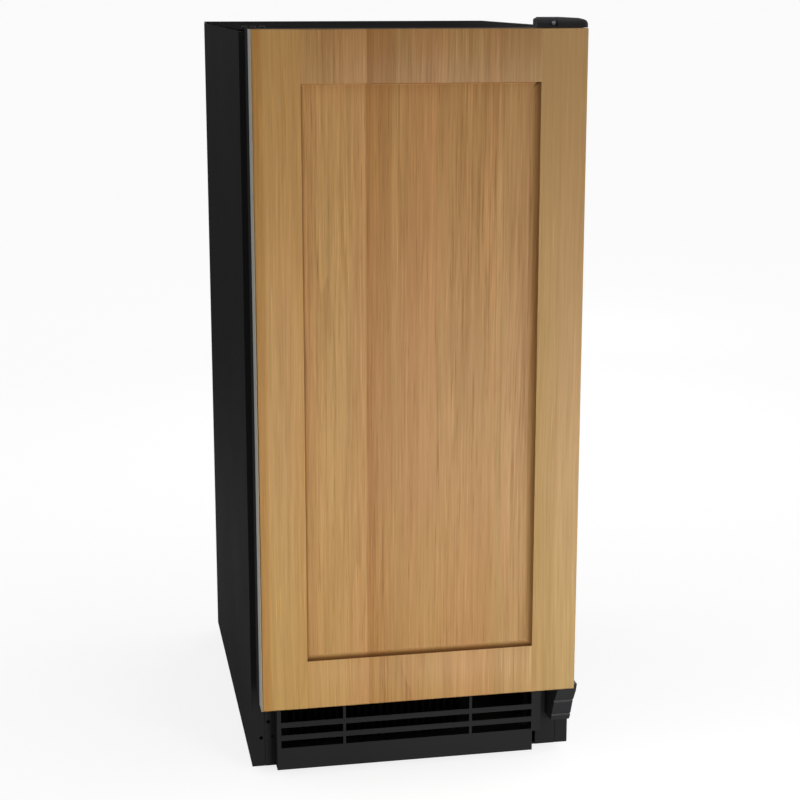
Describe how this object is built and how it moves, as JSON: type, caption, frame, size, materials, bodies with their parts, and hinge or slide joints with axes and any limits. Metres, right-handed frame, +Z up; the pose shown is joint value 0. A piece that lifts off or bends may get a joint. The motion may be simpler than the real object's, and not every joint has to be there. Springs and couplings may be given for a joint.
{
  "type": "under-counter ice maker",
  "caption": "Black under-counter ice maker with a shaker wood overlay door hinged on the right, slotted toe grille, levelling legs, ice bin and full freezing and cooling works inside.",
  "frame": {"origin": "centre of the bounding box, on the floor under the levelling feet", "axes": "+Z up, the door faces -Y, +X is the viewer's right, which is the hinge side"},
  "size_m": [0.3794, 0.552, 0.8668],
  "materials": {
    "black_steel": "satin powder coat, slight orange peel",
    "black_plastic": "fine moulded texture",
    "white_plastic": "satin, thermoformed",
    "insulation_foam": null,
    "zinc_steel": "satin zinc and stainless",
    "compressor_black": "semi-gloss black enamel",
    "coated_fins": "black coated fins",
    "trim_aluminium": "satin anodised, light grey",
    "copper": "satin drawn copper",
    "motor_grey": "satin grey",
    "clear_plastic": "translucent gloss",
    "rubber": "matte",
    "oak_frame": "clear satin finish, vertical grain",
    "oak_panel": "clear satin finish, vertical grain"
  },
  "bodies": {
    "cabinet": {"left_side_panel": "black_steel", "right_side_panel": "black_steel", "top_panel": "black_steel", "back_panel": "black_steel", "rear_service_cover": "black_steel", "base_pan": "black_steel", "foam_insulation": "insulation_foam", "bin_liner": "white_plastic", "toe_grille": "black_plastic", "compressor": "compressor_black", "condenser_coil": "coated_fins", "fan_shroud": "zinc_steel", "fan_motor": "motor_grey", "water_inlet_valve": "white_plastic", "power_inlet": "black_plastic", "drain_fitting": "white_plastic", "drain_tube": "rubber", "discharge_line": "copper", "evaporator_plate": "zinc_steel", "evaporator_coil": "copper", "water_distributor": "white_plastic", "cutter_grid": "white_plastic", "water_reservoir": "white_plastic", "pump_motor": "motor_grey", "suction_line": "copper", "water_supply_tube": "white_plastic", "control_housing": "white_plastic", "light_lens": "clear_plastic", "bin_thermostat_bulb": "copper", "scoop_holder": "zinc_steel", "upper_hinge_bracket": "black_steel", "upper_hinge_cover": "black_plastic", "hinge_cover_screw": "zinc_steel", "hinge_hole_plug_1": "black_plastic", "hinge_hole_plug_2": "black_plastic", "hinge_hole_plug_3": "black_plastic", "lower_hinge_bracket": "black_steel", "lower_hinge_cover": "black_plastic"},
    "door": {"door_pan": "black_steel", "door_foam": "insulation_foam", "door_inner_liner": "white_plastic", "door_gasket": "rubber", "lower_door_bushing": "white_plastic", "upper_door_bushing": "white_plastic", "overlay_stile_left": "oak_frame", "overlay_stile_right": "oak_frame", "overlay_rail_top": "oak_frame", "overlay_rail_bottom": "oak_frame", "overlay_panel": "oak_panel", "door_edge_trim": "trim_aluminium"},
    "leg_front_left": {"leveling_leg_front_left": "zinc_steel"},
    "leg_front_right": {"leveling_leg_front_right": "zinc_steel"},
    "leg_rear_left": {"leveling_leg_rear_left": "zinc_steel"},
    "leg_rear_right": {"leveling_leg_rear_right": "zinc_steel"},
    "condenser_fan": {"condenser_fan": "black_plastic"},
    "pump_impeller": {"pump_impeller": "white_plastic"},
    "splash_curtain": {"splash_curtain": "clear_plastic"},
    "button_power": {"button_power": "motor_grey"},
    "button_clean": {"button_clean": "motor_grey"},
    "ice_scoop": {"ice_scoop": "white_plastic"}
  },
  "joints": [
    {"name": "door_hinge", "type": "hinge", "parent": "cabinet", "child": "door", "pos_m": [0.169, -0.232, 0.4], "axis": [0, 0, 1], "range_deg": [0, 110]},
    {"name": "leg_front_left_height", "type": "slide", "parent": "cabinet", "child": "leg_front_left", "axis": [0, 0, -1], "range_m": [0, 0.025]},
    {"name": "leg_front_right_height", "type": "slide", "parent": "cabinet", "child": "leg_front_right", "axis": [0, 0, -1], "range_m": [0, 0.025]},
    {"name": "leg_rear_left_height", "type": "slide", "parent": "cabinet", "child": "leg_rear_left", "axis": [0, 0, -1], "range_m": [0, 0.025]},
    {"name": "leg_rear_right_height", "type": "slide", "parent": "cabinet", "child": "leg_rear_right", "axis": [0, 0, -1], "range_m": [0, 0.025]},
    {"name": "condenser_fan_spin", "type": "hinge", "parent": "cabinet", "child": "condenser_fan", "pos_m": [-0.05, -0.106, 0.06], "axis": [0, 1, 0], "continuous": true},
    {"name": "pump_impeller_spin", "type": "hinge", "parent": "cabinet", "child": "pump_impeller", "pos_m": [0.092, 0.064, 0.63], "axis": [0, 0, 1], "continuous": true},
    {"name": "splash_curtain_swing", "type": "hinge", "parent": "cabinet", "child": "splash_curtain", "pos_m": [0, -0.0117, 0.75105], "axis": [-1, 0, 0], "range_deg": [0, 55]},
    {"name": "button_power_press", "type": "slide", "parent": "cabinet", "child": "button_power", "axis": [0, 1, 0], "range_m": [0, 0.0015], "stiffness_N_per_m": 600},
    {"name": "button_clean_press", "type": "slide", "parent": "cabinet", "child": "button_clean", "axis": [0, 1, 0], "range_m": [0, 0.0015], "stiffness_N_per_m": 600},
    {"name": "ice_scoop_lift", "type": "slide", "parent": "cabinet", "child": "ice_scoop", "axis": [0, 0, 1], "range_m": [0, 0.06]}
  ]
}
